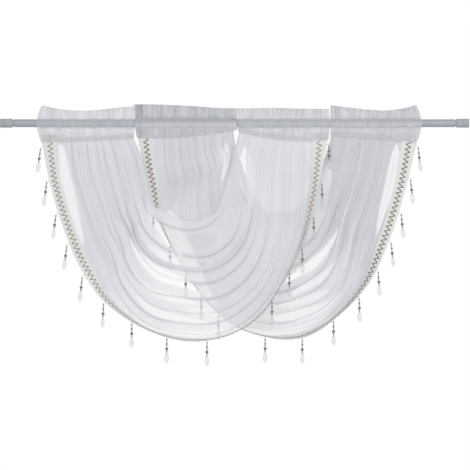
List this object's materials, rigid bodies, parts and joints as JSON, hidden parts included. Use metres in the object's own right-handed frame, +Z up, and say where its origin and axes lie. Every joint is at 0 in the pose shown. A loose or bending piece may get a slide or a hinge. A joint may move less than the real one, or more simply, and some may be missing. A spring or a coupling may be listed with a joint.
{
  "type": "short tulle swag curtain on a tension rod",
  "caption": "Short sheer curtain: two U-shaped tulle swags, one in front of the other, gathered on a slim tension rod, their hems edged with ribbon and beaded drops.",
  "frame": {"origin": "centre of the left end cap's flat outer face, on the rod's axis", "axes": "+X runs along the rod to the right end cap, +Z is up, and the curtain's front faces -Y"},
  "size_m": [0.985, 0.0912, 0.5461],
  "materials": {
    "rod_paint": "satin blue-grey paint",
    "cap_rubber": "matte grey-green rubber",
    "tulle": "sheer fine net",
    "gathered_tulle": "many layers of gathered fine net",
    "ribbon": "woven cream ribbon with a zigzag stitch and beads"
  },
  "bodies": {
    "root": {"rod_tube": "rod_paint", "end_cap_left": "cap_rubber", "end_cap_right": "cap_rubber", "heading_front_left": "gathered_tulle", "heading_front_right": "gathered_tulle", "heading_back_left": "gathered_tulle", "heading_back_right": "gathered_tulle", "panel_front": "tulle", "panel_back": "tulle", "trim_front": "ribbon", "trim_back": "ribbon"}
  },
  "joints": []
}
